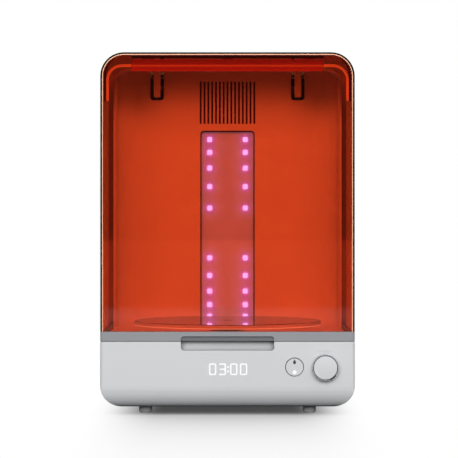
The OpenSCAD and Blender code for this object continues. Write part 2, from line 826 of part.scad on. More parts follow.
module hinge_pin(side) {
    reach = cheek_gap + cheek_t;
    color("silver") union() {
        rod_x(pivot_y, pivot_z, pin_dia / 2, side * arm_x - reach, side * arm_x + reach);
        rod_x(pivot_y, pivot_z, pin_dia / 2 + 2, side * arm_x - reach - 1.5, side * arm_x - reach);
        rod_x(pivot_y, pivot_z, pin_dia / 2 + 1.5, side * arm_x + reach, side * arm_x + reach + 1.2);
    }
}

module hinge_pin_left() { hinge_pin(-1); }
module hinge_pin_right() { hinge_pin(1); }

module friction_washers() {
    gap = 0.05;
    color([0.30, 0.26, 0.22]) for (side = [-1, 1], cheek = [-1, 1]) {
        x0 = side * arm_x + cheek * (arm_w + washer_t) / 2 - washer_t / 2;
        difference() {
            rod_x(pivot_y, pivot_z, arm_hub_r - 0.5,
                  x0 + (cheek > 0 ? gap : 0), x0 + washer_t - (cheek > 0 ? 0 : gap));
            rod_x(pivot_y, pivot_z, pin_dia / 2, x0 - 1, x0 + washer_t + 1);
        }
    }
}

module hinge_arm(side) {
    x0 = side * arm_x - arm_w / 2;
    foot_hw = arm_foot_w / 2;
    color([0.42, 0.43, 0.45]) difference() {
        union() {
            rod_x(pivot_y, pivot_z, arm_hub_r, x0, x0 + arm_w);
            side_view(x0, x0 + arm_w) {
                translate([neck_y, pivot_z - arm_bar / 2]) square([pivot_y - neck_y, arm_bar]);
                translate([neck_y, pivot_z - arm_bar / 2])
                    square([neck_t, ceiling_z - pivot_z + arm_bar / 2]);
            }
            block([side * arm_x - foot_hw, neck_y + neck_t - arm_foot, ceiling_z - arm_foot_t],
                  [side * arm_x + foot_hw, neck_y, ceiling_z]);
            block([x0, neck_y - eps, ceiling_z - arm_foot_t], [x0 + arm_w, neck_y + neck_t, ceiling_z]);
        }
        rod_x(pivot_y, pivot_z, pin_dia / 2 + pin_fit, x0 - eps, x0 + arm_w + eps);
        at_arm_screws(side) translate([0, 0, -arm_foot_t - eps]) cylinder(r = 2.1, h = arm_foot_t + 2 * eps);
    }
}

module at_arm_screws(side) {
    for (k = [0, 1]) translate([side * arm_x, neck_y - 8 - 16 * k, ceiling_z]) children();
}

module hinge_arm_left() { hinge_arm(-1); }
module hinge_arm_right() { hinge_arm(1); }

module hinge_arm_screws() {
    color("silver") for (side = [-1, 1]) at_arm_screws(side) {
        translate([0, 0, -arm_foot_t - 2.2]) cylinder(r = 3.6, h = 2.2);
        translate([0, 0, -arm_foot_t]) cylinder(r = 2, h = arm_foot_t + hood_wall - 1);
    }
}

// A strip with a round outer front corner, from the origin outwards and from one depth to another
module edge_strip(reach, y0, y1, corner) {
    union() {
        translate([0, -y1]) square([reach - corner, y1 - y0]);
        translate([0, -y1]) square([reach, y1 - y0 - corner]);
        translate([reach - corner, -y0 - corner]) circle(corner);
    }
}

// The closed hood's outer form, drawn in by a wall on its sides, front and top.
// Its round front edge runs up both sides, round the upper corners and along the top.
module hood_form(inset, z0, y1) {
    w = half_w - inset;
    y0 = front_y + inset;
    r = top_r - inset;
    shoulder_z = top_z - inset - r;
    corner = max(edge_r - inset, 0.8);
    union() {
        translate([0, 0, z0]) linear_extrude(shoulder_z - z0) round_below(-w, y0, w, y1, corner);
        side_view(-w + r, w - r) translate([0, shoulder_z]) rotate(90) edge_strip(r, y0, y1, corner);
        for (side = [0, 1]) mirror([side, 0, 0]) translate([w - r, 0, shoulder_z]) rotate([90, 0, 0])
            rotate_extrude(angle = 90) edge_strip(r, y0, y1, corner);
    }
}

// A band around the front and both sides, between two distances from the outer face
module skirt_band(out, in, z0, z1) {
    difference() {
        translate([0, 0, z0]) linear_extrude(z1 - z0)
            round_rect(-half_w + out, front_y + out, half_w - out, hood_rear_y + 20, max(edge_r - out, 0.8));
        translate([0, 0, z0 - eps]) linear_extrude(z1 - z0 + 2 * eps)
            round_rect(-half_w + in, front_y + in, half_w - in, hood_rear_y + 30, 0.8);
        block([-half_w, hood_rear_y, z0 - eps], [half_w, hood_rear_y + 40, z1 + eps]);
    }
}

module hood_shell() {
    color(hood_orange) difference() {
        union() {
            difference() {
                hood_form(0, shell_z, hood_rear_y);
                hood_form(hood_wall, shell_z - eps, hood_rear_y + eps);
            }
            skirt_band(hood_wall - tongue_t, hood_wall, shell_z - tongue_h, shell_z + eps);
        }
        for (side = [-1, 1]) at_arm_screws(side) translate([0, 0, -eps])
            cylinder(r = 2, h = hood_wall - 1 + eps);
    }
}

module hood_skirt() {
    lip_y = front_y + lip_in;
    color(skirt_grey) difference() {
        union() {
            skirt_band(0, skirt_t, skirt_z, shell_z);
            block([-pocket_w / 2 - 3, lip_y, skirt_z],
                  [pocket_w / 2 + 3, lip_y + lip_t, rim_z + pocket_high]);
            for (side = [-1, 1]) block([side * (half_w - rim_w / 2) - 6, front_y + 1, skirt_z],
                                       [side * (half_w - rim_w / 2) + 6, deck_y0 - deck_gap, skirt_z + 4]);
        }
        front_view(front_y - eps, lip_y) pocket_outline();
        skirt_band(hood_wall - tongue_t - snug, hood_wall, shell_z - tongue_h - snug, shell_z + eps);
        magnet_places() translate([0, 0, skirt_z - eps])
            cylinder(r = magnet_r + 0.05, h = magnet_t + 0.3 + eps);
    }
}

// Places of the magnets that hold the hood shut
module magnet_places() {
    for (side = [-1, 1]) translate([side * (half_w - rim_w / 2), front_y + 5.8, 0]) children();
}

module hood_magnets() {
    color([0.6, 0.6, 0.62]) magnet_places() translate([0, 0, skirt_z + 0.3])
        cylinder(r = magnet_r, h = magnet_t);
}

module catch_magnets() {
    color([0.6, 0.6, 0.62]) magnet_places() translate([0, 0, rim_z - magnet_t - 0.2])
        cylinder(r = magnet_r, h = magnet_t);
}

// Places of the cushions that the closed hood rests on
module bumper_places() {
    for (side = [-1, 1], y = [front_y + 60, hood_rear_y - 30])
        translate([side * (half_w - skirt_t / 2), y, rim_z]) children();
}

module hood_bumpers() {
    color([0.2, 0.2, 0.2]) bumper_places() translate([0, 0, -1.2])
        cylinder(r = bumper_r, h = 1.2 + seam_gap - 0.1);
}

module hood_brace() {
    w = half_w - hood_wall;
    z0 = ceiling_z - brace_leg;
    z1 = ceiling_z - bead_drop;
    color([0.62, 0.30, 0.16]) front_view(brace_y, brace_y + brace_t) difference() {
        round_above(-w, z0, w, z1, bead_r);
        round_above(-w + brace_t, z0 - eps, w - brace_t, z1 - brace_t, bead_r - brace_t);
    }
}

module brace_plate() {
    z1 = ceiling_z - plate_drop;
    tab_hw = 6;
    color([0.45, 0.10, 0.06]) union() {
        front_view(brace_y - brace_plate_t, brace_y)
            round_rect(-brace_plate_w / 2, z1 - brace_plate_h, brace_plate_w / 2, z1, 0.8);
        for (x = [-1, 0, 1] * brace_plate_w / 2.4)
            block([x - tab_hw, brace_y - brace_plate_t, z1 - 1], [x + tab_hw, brace_y + 10, ceiling_z]);
    }
}

module light_window() {
    color([0.9, 0.9, 0.95, 0.4]) front_view(pane_y, pane_y + pane_t)
        round_rect(-window_w / 2 - pane_lap, window_z0 + 0.5,
                   window_w / 2 + pane_lap, window_z1 + pane_lap, window_r);
}

module light_board() {
    color([0.93, 0.93, 0.93]) front_view(led_board_y, led_board_y + led_board_t)
        round_rect(-window_w / 2 - 1, window_z0 + 2, window_w / 2 + 1, window_z1 + 2, 2);
}

module light_diodes() {
    color([0.85, 0.60, 0.95]) for (x = [-1, 1] * led_gap / 2, h = led_rows) {
        z = deck_z + h;
        block([x - led_size / 2, led_y, z - led_size / 2], [x + led_size / 2, led_board_y, z + led_size / 2]);
        rod_y(x, z, led_lens / 2, led_y - lens_h, led_y);
    }
}

module light_heatsink() {
    w = window_w + 2;
    z0 = window_z0 + 2;
    z1 = window_z1 - 8;
    back = 3;
    fin_hw = 0.8;
    ear = w / 2 + 6;
    post_x = w / 2 + 16;
    color([0.75, 0.76, 0.78]) union() {
        block([-w / 2, sink_y, z0], [w / 2, sink_y + back, z1]);
        for (i = [0:fins - 1]) {
            x = -w / 2 + fin_hw + i * (w - 2 * fin_hw) / (fins - 1);
            block([x - fin_hw, sink_y + back, z0], [x + fin_hw, sink_y + back + fin_d, z1]);
        }
        for (x = [-1, 1] * ear) block([x - 7, sink_y, z0], [x + 7, sink_y + back, z0 + 14]);
        for (x = [-1, 1] * ear) rod_y(x, z0 + 7, 4, sink_y + back, frame_y);
        for (x = [-1, 1] * ear) block([x - 7, sink_y, z1 - 14], [x + 7, sink_y + back, z1]);
        for (x = [-1, 1] * post_x) block([x - 5, sink_y, z1 - 12], [x + 5, sink_y + back, z1]);
        for (x = [-1, 1] * post_x) rod_y(x, z1 - 6, 4, sink_y + back, frame_y);
    }
}

module heater_block() {
    size = fan_size - 8;
    ribs = 11;
    color([0.80, 0.72, 0.55]) union() {
        difference() {
            front_view(heater_y, heater_y + heater_t)
                translate([0, fan_z]) square(size, center = true);
            front_view(heater_y - eps, heater_y + heater_t + eps) for (i = [0:ribs - 1])
                translate([(i - (ribs - 1) / 2) * (size - 6) / ribs, fan_z])
                    square([2.4, size - 10], center = true);
        }
        for (x = [-1, 1] * (size / 2 - 3), z = [-1, 1] * (size / 2 - 3))
            block([x - 2, liner_back_y, fan_z + z - 2], [x + 2, heater_y, fan_z + z + 2]);
    }
}

module fan_frame() {
    s = fan_size / 2;
    color([0.16, 0.16, 0.17]) union() {
        front_view(fan_y, fan_y + fan_d) difference() {
            round_rect(-s, fan_z - s, s, fan_z + s, 3);
            translate([0, fan_z]) circle(fan_hole_r);
        }
        front_view(fan_y + fan_d - 2.5, fan_y + fan_d) translate([0, fan_z]) {
            circle(11);
            for (a = [45:90:315]) rotate(a) translate([0, -1.5]) square([fan_hole_r + 1, 3]);
        }
        for (x = [-1, 1] * (s - 5), z = [-1, 1] * (s - 5)) rod_y(x, fan_z + z, 3, heater_y + heater_t, fan_y);
        rod_y(0, fan_z, 2, fan_y + 5, fan_y + fan_d);
    }
}

module fan_rotor() {
    blades = 7;
    front = fan_y + 2;
    blade_d = fan_d - 9;
    color([0.22, 0.22, 0.23]) difference() {
        union() {
            rod_y(0, fan_z, 10.5, front, fan_y + fan_d - 3.2);
            for (i = [0:blades - 1]) translate([0, 0, fan_z]) rotate([0, 360 / blades * i, 0])
                translate([9, fan_y + (fan_d - blade_d) / 2 + 1.2, 0]) rotate([38, 0, 0])
                    cube([fan_hole_r - 12, blade_d, 1.4]);
        }
        rod_y(0, fan_z, 2.05, fan_y + 4.5, fan_y + fan_d);
    }
}

module power_supply() {
    y0 = service_y - supply_l / 2;
    color([0.72, 0.73, 0.74]) difference() {
        block([supply_x, y0, plate_z], [supply_x + supply_w, y0 + supply_l, plate_z + supply_h]);
        for (i = [0:9]) block([supply_x + 8, y0 + 12 + 9 * i, plate_z + supply_h - 1.2],
                              [supply_x + supply_w - 8, y0 + 15 + 9 * i, plate_z + supply_h + eps]);
    }
}

// Places of the main board's four posts
module at_posts() {
    for (x = [main_x + 4, main_x + main_w - 4], y = [-1, 1] * (main_l / 2 - 5))
        translate([x, service_y + y, plate_z]) children();
}

module board_standoffs() {
    color("silver") at_posts() {
        cylinder(r = 3, h = post_h);
        translate([0, 0, post_h]) cylinder(r = 1.5, h = board_t);
        translate([0, 0, post_h + board_t]) cylinder(r = 2.8, h = 1.8);
    }
}

module main_board() {
    y0 = service_y - main_l / 2;
    z1 = main_z + board_t;
    color([0.10, 0.38, 0.22]) union() {
        difference() {
            block([main_x, y0, main_z], [main_x + main_w, y0 + main_l, z1]);
            at_posts() cylinder(r = 1.5, h = 20);
        }
        block([main_x + 16, y0 + 20, z1], [main_x + 32, y0 + 36, z1 + 1.6]);
        block([main_x + 8, y0 + main_l - 26, z1], [main_x + main_w - 8, y0 + main_l - 14, z1 + 9]);
        for (i = [0:2]) translate([main_x + 14 + 13 * i, y0 + 60, z1]) cylinder(r = 5, h = 14);
        for (i = [0:3]) block([main_x + 10 + 9 * i, y0 + 8, z1], [main_x + 16 + 9 * i, y0 + 14, z1 + 6]);
    }
}

module power_inlet() {
    z = base_z + inlet_h;
    color([0.12, 0.12, 0.13]) translate([-inlet_x, 0, z]) difference() {
        union() {
            front_view(rear_y - base_wall - 16, rear_y) round_rect(-13.6, -9.8, 13.6, 9.8, 2);
            front_view(rear_y - base_wall - 2, rear_y - base_wall) round_rect(-17, -13, 17, 13, 2);
        }
        front_view(rear_y - 14, rear_y + eps) round_rect(-12, -7.6, 12, 7.6, 3);
        translate([inlet_x, 0, -z]) inlet_blades();
    }
}

// The three contact blades of the power inlet
module inlet_blades() {
    z = base_z + inlet_h;
    for (p = [[-7, -2], [0, 2], [7, -2]])
        block([p[0] - 1 - inlet_x, rear_y - 24, z + p[1] - 2],
              [p[0] + 1 - inlet_x, rear_y - 3, z + p[1] + 2]);
}

module inlet_pins() {
    color("silver") inlet_blades();
}

module control_board() {
    x0 = display_x - 30;
    color([0.10, 0.38, 0.22]) union() {
        block([x0, board_y, board_z0], [knob_x + 15, board_y + board_t, board_z1]);
        for (x = [x0 + 4, button_x - 16, knob_x - knob_side / 2 - 0.5])
            rod_y(x, board_z0 + 5, 2.5, wall_in_y, board_y);
        block([display_x + 36, board_y + board_t, control_z - 12],
              [display_x + 52, board_y + board_t + 6, control_z - 6]);
    }
}

// Outline of one segment: a bar with pointed ends
module segment(length, upright) {
    h = stroke / 2;
    rotate(upright ? 90 : 0) polygon([
        [-length / 2, 0], [-length / 2 + h, h], [length / 2 - h, h],
        [length / 2, 0], [length / 2 - h, -h], [-length / 2 + h, -h]
    ]);
}

// The segments of one digit whose state is the wanted one
module digit_segments(state, wanted) {
    gap = 0.12;
    wide = digit_w - stroke;
    tall = (digit_h - stroke) / 2;
    places = [
        [0, tall, false], [-wide / 2, tall / 2, true], [wide / 2, tall / 2, true], [0, 0, false],
        [-wide / 2, -tall / 2, true], [wide / 2, -tall / 2, true], [0, -tall, false]
    ];
    for (i = [0:6]) if (state[i] == wanted)
        translate([places[i][0], places[i][1]]) segment((places[i][2] ? tall : wide) - 2 * gap, places[i][2]);
}

module display_segments(wanted) {
    translate([display_x, display_z]) {
        for (i = [0:3]) translate([digit_x[i], 0]) digit_segments(shown[i], wanted);
        if (wanted == 1) for (z = [-1, 1] * digit_h / 5.6) translate([0, z]) circle(0.85);
    }
}

module all_segments() {
    display_segments(0);
    display_segments(1);
}

module display_segments_lit() {
    color("white") front_view(front_y, wall_in_y) display_segments(1);
}

module display_segments_unlit() {
    color(housing_grey) front_view(front_y, wall_in_y) display_segments(0);
}

module display_module() {
    hw = colon_gap + digit_pitch + digit_w / 2 + 2.5;
    color([0.15, 0.15, 0.16])
        block([display_x - hw, wall_in_y, display_z - digit_h / 2 - 3],
              [display_x + hw, board_y, display_z + digit_h / 2 + 3]);
}

module mode_button() {
    flange_y = wall_in_y + stop_gap;
    color([0.86, 0.87, 0.88]) difference() {
        union() {
            rod_y(button_x, control_z, button_r, front_y - button_out, flange_y);
            rod_y(button_x, control_z, button_r + 1.6, flange_y, flange_y + flange_t);
            rod_y(button_x, control_z, 2.5, flange_y + flange_t, board_y - switch_h - 0.3 - button_travel);
        }
        front_view(front_y - button_out - eps, front_y - button_out + icon_t) icon_outlines();
    }
}

// A drop above and a rounded diamond below, which glow through the button
module icon_outlines() {
    r = button_r * 0.16;
    half = button_r * 0.2;
    translate([button_x, control_z + button_r * 0.5]) union() {
        circle(r);
        polygon([[-r * 0.87, r * 0.5], [r * 0.87, r * 0.5], [0, r * 2]]);
    }
    translate([button_x, control_z - button_r * 0.57]) rotate(45)
        round_rect(-half, -half, half, half, half * 0.4);
}

module button_icons() {
    color([0.95, 0.95, 1]) front_view(front_y - button_out, front_y - button_out + icon_t) icon_outlines();
}

module button_switch() {
    half = switch_h;
    color([0.2, 0.2, 0.2]) block([button_x - half, board_y - switch_h, control_z - half],
                                 [button_x + half, board_y, control_z + half]);
}

module knob() {
    front = front_y - knob_out;
    inside = front + knob_top;
    back = front_y - knob_gap;
    color([0.84, 0.85, 0.86]) difference() {
        union() {
            rod_y(knob_x, control_z, knob_r - 0.8, front, front + 0.8);
            rod_y(knob_x, control_z, knob_r, front + 0.8, back);
        }
        rod_y(knob_x, control_z, 3, inside, back + eps);
        difference() {
            rod_y(knob_x, control_z, knob_r - 2, inside, back + eps);
            rod_y(knob_x, control_z, 5.5, inside - eps, back + 2 * eps);
        }
    }
}

module knob_shaft() {
    color("silver") rod_y(knob_x, control_z, 3, front_y - knob_out + knob_top, plunger_y - 0.05);
}

module encoder_plunger() {
    color([0.7, 0.6, 0.3]) rod_y(knob_x, control_z, 2.9, plunger_y, plunger_y + plunger_t);
}

module encoder_body() {
    color([0.3, 0.3, 0.32]) difference() {
        union() {
            block([knob_x - 6.5, wall_in_y + 3.4, control_z - 6.5], [knob_x + 6.5, board_y, control_z + 6.5]);
            rod_y(knob_x, control_z, encoder_neck_r, front_y + 0.4, wall_in_y + 3.4);
        }
        rod_y(knob_x, control_z, 3.05, front_y - eps, bore_end_y);
    }
}

module hood_sensor() {
    color([0.10, 0.38, 0.22]) block([half_w - rim_w - 6, front_y + base_wall + 1.5, rim_z - base_wall - 4.4],
                                    [half_w - rim_w + 8, front_y + base_wall + 11.5, rim_z - base_wall]);
}

base_housing();
base_plate();
base_plate_screws();
foot_front_left();
foot_front_right();
foot_rear_left();
foot_rear_right();
chamber_deck();
deck_screws();
turntable_bush();
turntable_shaft();
turntable_hub();
turntable_disc();
motor_bracket();
gearbox();
drive_motor();
rear_liner();
rear_cover();
rear_cover_screws();
hinge_frame();
hinge_pin_left();
hinge_pin_right();
friction_washers();
hinge_arm_left();
hinge_arm_right();
hinge_arm_screws();
hood_shell();
hood_skirt();
hood_brace();
brace_plate();
hood_magnets();
catch_magnets();
hood_bumpers();
light_window();
light_board();
light_diodes();
light_heatsink();
heater_block();
fan_frame();
fan_rotor();
power_supply();
main_board();
board_standoffs();
power_inlet();
inlet_pins();
control_board();
display_module();
display_segments_lit();
display_segments_unlit();
mode_button();
button_icons();
button_switch();
knob();
knob_shaft();
encoder_plunger();
encoder_body();
hood_sensor();
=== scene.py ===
# Looks for a desktop light curing unit. Metres, X to the right, Y to the rear, Z up, front towards -Y.
import json
import math

import bpy
import numpy as np
from mathutils import Matrix, Vector

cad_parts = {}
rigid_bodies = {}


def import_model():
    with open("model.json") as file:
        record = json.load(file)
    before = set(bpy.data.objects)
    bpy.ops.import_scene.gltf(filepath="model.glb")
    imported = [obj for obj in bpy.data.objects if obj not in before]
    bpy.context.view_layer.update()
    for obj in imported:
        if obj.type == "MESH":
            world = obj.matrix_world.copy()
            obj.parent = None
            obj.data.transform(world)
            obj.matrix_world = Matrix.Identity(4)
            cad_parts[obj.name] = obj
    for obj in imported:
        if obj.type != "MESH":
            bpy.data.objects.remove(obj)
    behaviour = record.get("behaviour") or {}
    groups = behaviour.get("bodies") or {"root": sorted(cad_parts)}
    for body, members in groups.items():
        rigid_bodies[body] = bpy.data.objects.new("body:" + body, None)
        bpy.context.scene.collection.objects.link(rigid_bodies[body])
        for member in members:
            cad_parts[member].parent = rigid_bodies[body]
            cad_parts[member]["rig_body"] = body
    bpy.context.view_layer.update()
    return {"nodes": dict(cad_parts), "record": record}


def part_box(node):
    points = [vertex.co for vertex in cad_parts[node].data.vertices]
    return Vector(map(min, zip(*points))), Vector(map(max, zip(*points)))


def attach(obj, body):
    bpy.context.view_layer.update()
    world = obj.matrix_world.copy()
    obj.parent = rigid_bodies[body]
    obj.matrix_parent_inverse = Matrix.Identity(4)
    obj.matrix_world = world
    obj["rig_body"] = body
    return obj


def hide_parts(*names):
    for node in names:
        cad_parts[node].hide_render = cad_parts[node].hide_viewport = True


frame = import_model()
nodes = frame["nodes"]
print("frame loaded:", len(nodes), "nodes")
mm = 0.001


# colours and nodes
def toLinear(hexColour):
    values = [int(hexColour[i:i + 2], 16) / 255 for i in (1, 3, 5)]
    return [v / 12.92 if v <= 0.04045 else ((v + 0.055) / 1.055) ** 2.4 for v in values] + [1.0]


def addNode(tree, kind, inputs=None, **settings):
    made = tree.nodes.new(kind)
    for name, value in settings.items():
        setattr(made, name, value)
    for name, value in (inputs or {}).items():
        if isinstance(value, bpy.types.NodeSocket):
            tree.links.new(value, made.inputs[name])
        elif isinstance(value, str):
            made.inputs[name].default_value = toLinear(value)
        else:
            made.inputs[name].default_value = value
    return made


def newMaterial(name):
    material = bpy.data.materials.new(name)
    material.use_nodes = True
    tree = material.node_tree
    tree.nodes.clear()
    output = addNode(tree, "ShaderNodeOutputMaterial")
    return material, tree, output


def grain(tree, size, detail=2.0):
    # noise of a real size in metres, read from the object's own coordinates
    where = addNode(tree, "ShaderNodeTexCoord")
    return addNode(tree, "ShaderNodeTexNoise", {
        "Vector": where.outputs["Object"], "Scale": 1 / size, "Detail": detail, "Roughness": 0.55})


def paintedShadeLevel(tree, reach, closed, least, heights=None):
    # painted shade: how open a place is to the room, from an occlusion test: 1 on free faces, down to the
    # least in hollows, steps and corners, used to darken the colour there
    hidden = addNode(tree, "ShaderNodeAmbientOcclusion", {"Distance": reach}, samples=16)
    level = addNode(tree, "ShaderNodeMapRange", {
        "Value": hidden.outputs["AO"], "From Min": closed, "From Max": 0.96, "To Min": least, "To Max": 1.0})
    if not heights:
        return level
    # with heights, the painted shade fades in from the lower height to the upper one and is left out below
    where = addNode(tree, "ShaderNodeTexCoord")
    place = addNode(tree, "ShaderNodeSeparateXYZ", {0: where.outputs["Object"]})
    high = addNode(tree, "ShaderNodeMapRange", {
        "Value": place.outputs["Z"], "From Min": heights[0], "From Max": heights[1]},
        interpolation_type="SMOOTHSTEP")
    return addNode(tree, "ShaderNodeMapRange", {
        "Value": high.outputs[0], "To Min": 1.0, "To Max": level.outputs[0]})


def mouldedPlastic(name, colour, darker, roughness, grit=0.7 * mm, depth=0.02, specular=0.5, paintedShade=None):
    # injection moulded ABS or polycarbonate: even colour, fine spark eroded grain, soft highlight
    material, tree, output = newMaterial(name)
    cloud = grain(tree, 60 * mm, 1.0)
    shade = addNode(tree, "ShaderNodeMix", {0: cloud.outputs["Fac"], 6: colour, 7: darker},
                    data_type="RGBA")
    # painted shade: the colour is darkened towards black where the occlusion test finds hollows and corners
    if paintedShade:
        level = paintedShadeLevel(tree, **paintedShade)
        shade = addNode(tree, "ShaderNodeMix", {0: level.outputs[0], 6: "#000000", 7: shade.outputs[2]},
                        data_type="RGBA")
    fine = grain(tree, grit)
    bump = addNode(tree, "ShaderNodeBump", {
        "Height": fine.outputs["Fac"], "Strength": 0.25, "Distance": depth * mm})
    rough = addNode(tree, "ShaderNodeMapRange", {
        "Value": fine.outputs["Fac"], "From Min": 0.3, "From Max": 0.7,
        "To Min": roughness - 0.05, "To Max": roughness + 0.05})
    surface = addNode(tree, "ShaderNodeBsdfPrincipled", {
        "Base Color": shade.outputs[2], "Roughness": rough.outputs[0],
        "Normal": bump.outputs[0], "IOR": 1.5, "Specular IOR Level": specular})
    tree.links.new(surface.outputs[0], output.inputs["Surface"])
    return material


def metalFinish(name, colour, darker, roughness, stretch=(1, 1, 1), grit=0.8 * mm, depth=0.02):
    # bare or plated metal: brushed or blasted, the stretch gives the brushing its direction
    material, tree, output = newMaterial(name)
    where = addNode(tree, "ShaderNodeTexCoord")
    turned = addNode(tree, "ShaderNodeMapping", {"Vector": where.outputs["Object"], "Scale": stretch})
    fine = addNode(tree, "ShaderNodeTexNoise", {
        "Vector": turned.outputs[0], "Scale": 1 / grit, "Detail": 3.0})
    shade = addNode(tree, "ShaderNodeMix", {0: fine.outputs["Fac"], 6: colour, 7: darker}, data_type="RGBA")
    bump = addNode(tree, "ShaderNodeBump", {
        "Height": fine.outputs["Fac"], "Strength": 0.2, "Distance": depth * mm})
    surface = addNode(tree, "ShaderNodeBsdfPrincipled", {
        "Base Color": shade.outputs[2], "Metallic": 1.0, "Roughness": roughness, "Normal": bump.outputs[0]})
    tree.links.new(surface.outputs[0], output.inputs["Surface"])
    return material


def clearSheet(name, tint, absorbing, density, roughness, ior=1.49):
    # cast acrylic: polished faces, dyed through its thickness, so that long ways inside look darker
    material, tree, output = newMaterial(name)
    light = addNode(tree, "ShaderNodeLightPath")
    glass = addNode(tree, "ShaderNodeBsdfPrincipled", {
        "Base Color": tint, "Roughness": roughness, "IOR": ior, "Transmission Weight": 1.0})
    slant = addNode(tree, "ShaderNodeLayerWeight", {"Blend": 0.5})
    loss = addNode(tree, "ShaderNodeMapRange", {
        "Value": slant.outputs["Facing"], "From Min": 0.4, "From Max": 0.72},
        interpolation_type="SMOOTHSTEP")
    passed = addNode(tree, "ShaderNodeMix", {0: loss.outputs[0], 6: tint, 7: "#484848"}, data_type="RGBA")
    clear = addNode(tree, "ShaderNodeBsdfTransparent", {"Color": passed.outputs[2]})
    mixed = addNode(tree, "ShaderNodeMixShader", {
        0: light.outputs["Is Shadow Ray"], 1: glass.outputs[0], 2: clear.outputs[0]})
    tree.links.new(mixed.outputs[0], output.inputs["Surface"])
    if density:
        inside = addNode(tree, "ShaderNodeVolumeAbsorption", {"Color": absorbing, "Density": density})
        tree.links.new(inside.outputs[0], output.inputs["Volume"])
    return material


def glowing(name, colour, strength, base="#FFFFFF", roughness=0.3):
    # a lit light guide or lens: it gives off its own light and still has a glossy skin; also used to paint a
    # glow on pieces that are no lamp
    material, tree, output = newMaterial(name)
    surface = addNode(tree, "ShaderNodeBsdfPrincipled", {
        "Base Color": base, "Roughness": roughness, "Emission Color": colour, "Emission Strength": strength})
    tree.links.new(surface.outputs[0], output.inputs["Surface"])
    return material


def paintedDimReflection(material, shade):
    # painted reflection: glossy rays see a plain diffuse shade in place of the piece's own surface, so it
    # shows only dimly in the hood's own inner faces
    tree = material.node_tree
    output = next(node for node in tree.nodes if node.type == "OUTPUT_MATERIAL")
    own = output.inputs["Surface"].links[0].from_socket
    rays = addNode(tree, "ShaderNodeLightPath")
    dim = addNode(tree, "ShaderNodeBsdfDiffuse", {"Color": shade})
    mirrored = addNode(tree, "ShaderNodeMath", {
        0: rays.outputs["Is Glossy Ray"], 1: rays.outputs["Is Transmission Ray"]},
        operation="SUBTRACT", use_clamp=True)
    mixed = addNode(tree, "ShaderNodeMixShader", {0: mirrored.outputs[0], 1: own, 2: dim.outputs[0]})
    tree.links.new(mixed.outputs[0], output.inputs["Surface"])
    return material


def litBoard(name, rows, columnX, reach, wideReach, strength, even):
    # white solder mask under a diffusing pane, with painted glow: emission in violet pools round each diode,
    # fading outwards over an even painted glow, stands in for the diodes' light on the board
    material, tree, output = newMaterial(name)
    where = addNode(tree, "ShaderNodeTexCoord")
    place = addNode(tree, "ShaderNodeSeparateXYZ", {0: where.outputs["Object"]})
    side = addNode(tree, "ShaderNodeMath", {0: place.outputs["X"]}, operation="ABSOLUTE")
    offX = addNode(tree, "ShaderNodeMath", {0: side.outputs[0], 1: columnX}, operation="SUBTRACT")
    offX2 = addNode(tree, "ShaderNodeMath", {0: offX.outputs[0], 1: offX.outputs[0]}, operation="MULTIPLY")
    total = None
    for row in rows:
        offZ = addNode(tree, "ShaderNodeMath", {0: place.outputs["Z"], 1: row}, operation="SUBTRACT")
        far2 = addNode(tree, "ShaderNodeMath", {
            0: offZ.outputs[0], 1: offZ.outputs[0], 2: offX2.outputs[0]}, operation="MULTIPLY_ADD")
        for share, size in ((1.0, reach), (0.26, wideReach)):
            power = addNode(tree, "ShaderNodeMath", {
                0: far2.outputs[0], 1: -1 / size ** 2}, operation="MULTIPLY")
            bell = addNode(tree, "ShaderNodeMath", {0: power.outputs[0]}, operation="EXPONENT")
            summed = addNode(tree, "ShaderNodeMath", {0: bell.outputs[0], 1: share}, operation="MULTIPLY_ADD")
            if total:
                tree.links.new(total.outputs[0], summed.inputs[2])
            else:
                summed.inputs[2].default_value = 0.0
            total = summed
    level = addNode(tree, "ShaderNodeMath", {
        0: total.outputs[0], 1: strength, 2: even}, operation="MULTIPLY_ADD")
    near = addNode(tree, "ShaderNodeMath", {
        0: total.outputs[0], 1: 3.0}, operation="MULTIPLY", use_clamp=True)
    tone = addNode(tree, "ShaderNodeMix", {
        0: near.outputs[0], 6: "#7FA8FF", 7: "#3B46FF"}, data_type="RGBA")
    fine = grain(tree, 3 * mm)
    bump = addNode(tree, "ShaderNodeBump", {
        "Height": fine.outputs["Fac"], "Strength": 0.2, "Distance": 0.02 * mm})
    surface = addNode(tree, "ShaderNodeBsdfPrincipled", {
        "Base Color": "#F2F0EA", "Roughness": 0.35, "Normal": bump.outputs[0],
        "Emission Color": tone.outputs[2], "Emission Strength": level.outputs[0]})
    tree.links.new(surface.outputs[0], output.inputs["Surface"])
    return material


# painted shade settings: creases, gaps and the pocket on the housing and skirt from 65 mm up, and the chamber
# liner darkened under the ceiling from 310 mm up
creviceShadePainted = {"reach": 7 * mm, "closed": 0.3, "least": 0.5, "heights": (65 * mm, 68 * mm)}
ceilingShadePainted = {"reach": 60 * mm, "closed": 0.6, "least": 0.42, "heights": (310 * mm, 350 * mm)}
housingPlastic = mouldedPlastic("housing moulded ABS", "#CACCCD", "#C6C8CA", 0.5, paintedShade=creviceShadePainted)
skirtPlastic = mouldedPlastic("skirt moulded ABS", "#919296", "#8B8C90", 0.42, paintedShade=creviceShadePainted)
lipPaintedShade = mouldedPlastic("grip lip with painted shade", "#707276", "#6A6C70", 0.6)
